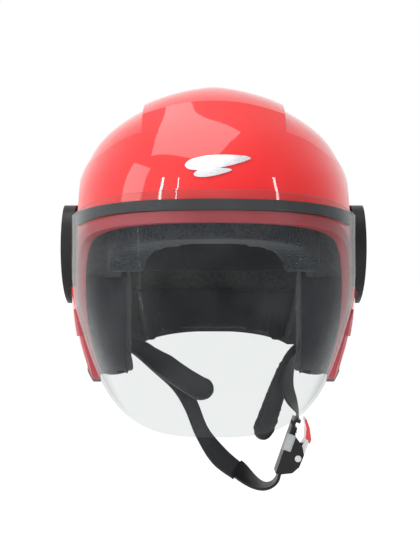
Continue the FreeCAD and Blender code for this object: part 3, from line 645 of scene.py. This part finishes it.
def make_brow_pad():
    """Brow cushion, held all over the side that looks away from the head."""
    def held(points, normals):
        return (inward(points, normals) < -0.1).astype(float)

    pad = stuffed("brow_pad", "brow_cushion", voxel=2.5 * MM, cap=1.5 * MM, held=held,
                  material=MATERIALS["mesh_cloth"], shrink=0.8 * MM)
    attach(pad, "helmet")
    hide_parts("brow_pad")


make_cheek_pad("left")
make_cheek_pad("right")
make_liner()
make_neck_pad()
make_brow_pad()


# ---------------------------------------------------------------- chin strap
# Each station is a point of the centre line in mm and the direction across the strap there.
RIGHT_ROUTE = (
    ((-110.25, 30, -79.3), (0, 1, 0)), ((-108.6, 29.8, -83.4), (0, 1, 0)),
    ((-101, 28.5, -87.2), (0, 1, 0)), ((-88, 25.5, -86.0), (0.1, 0.98, 0.1)),
    ((-70, 20, -88.5), (0.38, 0.75, 0.5)), ((-49, 12, -104), (0.48, 0.6, 0.6)),
    ((-31, 5, -121), (0.50, 0.68, 0.45)), ((-20, 1.5, -141), (0.50, 0.80, 0.2)),
    ((-10, 0, -165), (0.52, 0.82, 0.2)), ((5, 0, -186), (0.55, 0.65, 0.5)),
    ((22, 0, -200), (0.3, 0.75, 0.6)),
)
LEFT_ROUTE = (
    ((110.25, 30, -79.3), (0, 1, 0)), ((108.6, 29.8, -83.4), (0, 1, 0)),
    ((101, 28.5, -87.2), (0, 1, 0)), ((90, 26, -88.0), (0, 1, 0.05)),
    ((77, 22, -95), (0.2, 0.95, 0)), ((70, 17, -108), (0.45, 0.88, -0.1)),
    ((67.5, 11, -123), (0.55, 0.83, 0)), ((70.5, 5, -136), (0.5, 0.87, 0)),
    ((75.5, 1.5, -147), (0.1, 1, 0)), ((74.4, 0.5, -154), (0, 1, 0)),
)
# The webbing's loop round the hanger bar, seen along Y: (x, z) in mm.
FOLD = (
    (109.7, -79.6), (108.5, -75.0), (108.1, -70.5), (108.2, -67.6), (110.25, -66.3),
    (112.3, -67.6), (112.4, -70.5), (112.0, -75.0), (110.8, -79.6),
)
RIGHT_PAD = (
    ((-80, 23, -86.6), (0.2, 0.92, 0.3)), ((-70, 20, -88.5), (0.38, 0.75, 0.5)),
    ((-49, 12, -104), (0.48, 0.6, 0.6)), ((-30, 5.0, -117), (0.48, 0.6, 0.6)),
    ((-14, -0.5, -126), (0.48, 0.58, 0.62)), ((-1, -4.5, -131.5), (0.46, 0.58, 0.64)),
)
LEFT_PAD = (
    ((80, 22.5, -92), (0.2, 0.95, 0)), ((75.5, 20, -98), (0.3, 0.93, -0.05)),
    ((69.5, 15.5, -110), (0.48, 0.84, -0.2)), ((61.5, 9, -128), (0.60, 0.76, -0.24)),
    ((53.5, 3.5, -148), (0.66, 0.71, -0.24)), ((44.5, -0.5, -172), (0.68, 0.69, -0.24)),
)
BAND_WIDTH = 21 * MM
BAND_THICK = 1.8 * MM
BAND_STITCH_OFFSET = 8 * MM
BAND_STITCHED_POINTS = 34
HANGER_Y = 30 * MM
PAD_WIDTH = 25 * MM
BINDING_RADIUS = 2.5 * MM
PAD_STITCH_INSET = 3.2 * MM


def route(stations):
    """Smooth centre line in metres, and the across direction at each of its points."""
    path = smooth_path([np.array(p) * MM for p, _ in stations])
    return path, smooth_path([a for _, a in stations])


def make_webbing(side, stations):
    """Chin webbing, its fold round the hanger bar and four rows of stitches near the hanger."""
    sign = 1.0 if side == "left" else -1.0
    section = band_profile(BAND_WIDTH, BAND_THICK)
    path, across = route(stations)
    band = sweep(side + "_webbing", path, across, section, MATERIALS["webbing"])
    fold = smooth_path([(sign * x * MM, HANGER_Y, z * MM) for x, z in FOLD], 6)
    wide = np.tile(np.array([0.0, 1.0, 0.0]), (len(fold), 1))
    loop = sweep(side + "_webbing_fold", fold, wide, section, MATERIALS["webbing"])
    for piece in (band, loop):
        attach(piece, "chin_strap")
    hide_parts(side + "_strap")
    _, wide, normal = frames_along(path, across)
    sewn = slice(BAND_STITCHED_POINTS)
    for row, offset in (("front", -BAND_STITCH_OFFSET), ("rear", BAND_STITCH_OFFSET)):
        for tag, face in (("out", 1.0), ("in", -1.0)):
            line = path + wide * offset + normal * face * (BAND_THICK / 2 + 0.05 * MM)
            stitches(f"{side}_band_stitch_{row}_{tag}", line[sewn], normal[sewn] * face, "chin_strap")


def on_surface(surface, points):
    """The nearest point of a surface to each point."""
    return np.array([surface.find_nearest(Vector(p))[0] for p in points])


def make_strap_pad(side, stations, lift):
    """Strap cushion with a bound edge and a row of stitches on each face.

    lift is how far its centre lies from the webbing's, and the rim is straight down both sides and
    half round at the free end.
    """
    node = side + "_strap_pad"

    def held(points, normals):
        return np.zeros(len(points))

    pad = stuffed(node, side + "_strap_cushion", voxel=1.5 * MM, cap=0.9 * MM, held=held,
                  material=MATERIALS["strap_cloth"], shrink=0.7 * MM, pressure=6.0)
    path, across = route(stations)
    along, wide, normal = frames_along(path, across)
    centre = path + normal * lift
    run = distance_along(centre)
    half = PAD_WIDTH / 2
    tip = centre[-1] - along[-1] * half
    straight = run < run[-1] - half
    left_edge = (centre - wide * half)[straight]
    right_edge = (centre + wide * half)[straight]
    arc = [tip + (-wide[-1] * math.cos(t) + along[-1] * math.sin(t)) * half
           for t in np.linspace(0, math.pi, 17)]
    rim = np.vstack([left_edge, arc, right_edge[::-1]])
    outward = np.vstack([-wide[straight], [unit(p - tip) for p in arc], wide[straight][::-1]])
    surface = BVHTree.FromObject(pad, bpy.context.evaluated_depsgraph_get())
    rim_in = on_surface(surface, rim + outward * 2.0 * MM) - outward * 0.5 * MM
    round_end = np.tile(normal[-1], (len(arc), 1))
    across_rim = np.vstack([normal[straight], round_end, normal[straight][::-1]])
    section = tube_profile(BINDING_RADIUS, flat=0.55, sides=14)
    edge = sweep(side + "_pad_binding", rim_in, across_rim, section, BINDING)
    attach(edge, "chin_strap")
    inset = rim - outward * PAD_STITCH_INSET
    for tag, face in (("out", 1.0), ("in", -1.0)):
        line = on_surface(surface, inset + across_rim * face * 4.0 * MM)
        stitches(f"{side}_pad_stitch_{tag}", line, across_rim * face, "chin_strap")
    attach(pad, "chin_strap")
    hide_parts(node)


def make_label():
    """Blank woven label sewn over the front cheek of the buckle: a flat tile with rounded corners."""
    down = unit(np.array([-0.33, 0.0, -0.944]))
    out = np.array([-down[2], 0.0, down[0]])
    buckle_front = np.array([70.0, -13.0, -177.0]) * MM
    centre = buckle_front + down * -4.0 * MM + out * -4.4 * MM
    half_u = 7.6 * MM
    half_n = 4.2 * MM
    round_off = 0.9 * MM
    loop = []
    for corner in range(4):
        sign_u = 1 if corner in (0, 3) else -1
        sign_n = 1 if corner < 2 else -1
        for k in range(5):
            turn = math.pi / 2 * (corner + k / 4)
            loop.append((sign_u * (half_u - round_off) + round_off * math.cos(turn),
                         sign_n * (half_n - round_off) + round_off * math.sin(turn)))
    points = []
    for lift, inset in ((0.0, 1.0), (-0.25 * MM, 1.0), (-0.35 * MM, 0.95)):
        points += [centre + down * u * inset + out * n * inset + np.array([0, lift, 0]) for u, n in loop]
    count = len(loop)
    faces = [tuple(range(2 * count, 3 * count))]
    for ring in range(2):
        for k in range(count):
            n = (k + 1) % count
            low = ring * count
            high = low + count
            faces.append((low + k, low + n, high + n, high + k))
    label = add_mesh("buckle_label", points, faces, LABEL)
    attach(label, "chin_strap")
    edge = [centre + down * u * 0.88 + out * n * 0.82 + np.array([0, -0.35 * MM, 0])
            for u, n in loop + loop[:1]]
    stitches("buckle_label_stitch", edge, [(0.0, -1.0, 0.0)] * len(edge), "chin_strap",
             pitch=1.5 * MM, length=1.1 * MM, radius=0.12 * MM)


make_webbing("left", LEFT_ROUTE)
make_webbing("right", RIGHT_ROUTE)
make_strap_pad("left", LEFT_PAD, -3.8 * MM)
make_strap_pad("right", RIGHT_PAD, 3.8 * MM)
make_label()


# ---------------------------------------------------------------- floor, light and camera
def make_stage():
    """A wide pale floor below the object."""
    z = CAD_BOX[0].z - FLOOR_DROP
    sides = 64
    turns = [2 * math.pi * k / sides for k in range(sides)]
    ring = [(FLOOR_RADIUS * math.cos(turn), FLOOR_RADIUS * math.sin(turn), z) for turn in turns]
    floor = add_mesh("floor", ring, [tuple(range(sides))], floor_paint(), smooth=False)


def floor_paint():
    """Pale matt floor that glows, so that it blends into the white background."""
    f = Finish("floor_paint", 0.9)
    f.colour(f.noise(3.0, 3.0), (0.20, 0.20, 0.20), (0.22, 0.22, 0.22))
    f.bsdf.inputs["Emission Color"].default_value = (1.0, 1.0, 1.0, 1.0)
    f.bsdf.inputs["Emission Strength"].default_value = 0.82
    return f.mat


def make_world():
    """White studio behind the object and overhead, dimmer in front of it and towards +X."""
    world = bpy.data.worlds.new("studio")
    world.use_nodes = True
    SCENE.world = world
    tree = world.node_tree
    coords = tree.nodes.new("ShaderNodeTexCoord")
    lean = tree.nodes.new("ShaderNodeVectorMath")
    lean.operation = "DOT_PRODUCT"
    lean.inputs[1].default_value = (0.74, -0.62, -0.26)
    tree.links.new(coords.outputs["Generated"], lean.inputs[0])
    ramp = tree.nodes.new("ShaderNodeValToRGB")
    tree.links.new(lean.outputs["Value"], ramp.inputs[0])
    ramp.color_ramp.elements[0].color = (1.0, 1.0, 1.0, 1.0)
    ramp.color_ramp.elements[0].position = 0.10
    ramp.color_ramp.elements[1].color = (0.42, 0.425, 0.435, 1.0)
    ramp.color_ramp.elements[1].position = 0.80
    back = tree.nodes["Background"]
    tree.links.new(ramp.outputs["Color"], back.inputs["Color"])
    back.inputs["Strength"].default_value = 1.0


def area(name, place, target, size, size_y, power):
    """Rectangular light that looks at its target; sizes in metres, power in watts."""
    lamp = bpy.data.lights.new(name, "AREA")
    lamp.shape = "RECTANGLE"
    lamp.size = size
    lamp.size_y = size_y
    lamp.energy = power
    made = bpy.data.objects.new(name, lamp)
    made.location = place
    made.rotation_euler = (Vector(target) - Vector(place)).to_track_quat("-Z", "Y").to_euler()
    SCENE.collection.objects.link(made)


def make_camera():
    data = bpy.data.cameras.new("camera")
    data.lens = CAMERA_LENS
    data.sensor_width = CAMERA_SENSOR
    camera = bpy.data.objects.new("camera", data)
    camera.location = CAMERA_PLACE
    camera.rotation_euler = (math.radians(90), 0, 0)
    SCENE.collection.objects.link(camera)
    SCENE.camera = camera


make_stage()
make_world()
area("top_light", (-0.30, -0.45, 1.3), (0, 0, 0.05), size=1.1, size_y=0.8, power=9.0)
area("left_soft", (-1.3, -0.5, 0.35), (0, 0, 0), size=0.5, size_y=1.4, power=7.0)
area("left_strip", (-0.85, -1.0, 0.05), (0, 0, 0), size=0.05, size_y=1.7, power=7.0)
area("left_strip_thin", (-0.55, -1.15, 0.05), (0, 0, 0), size=0.02, size_y=1.7, power=2.5)
area("right_strip", (1.0, -0.85, 0.1), (0, 0, 0), size=0.05, size_y=1.5, power=4.0)
make_camera()
SCENE.view_settings.view_transform = "Standard"
SCENE.view_settings.look = "None"
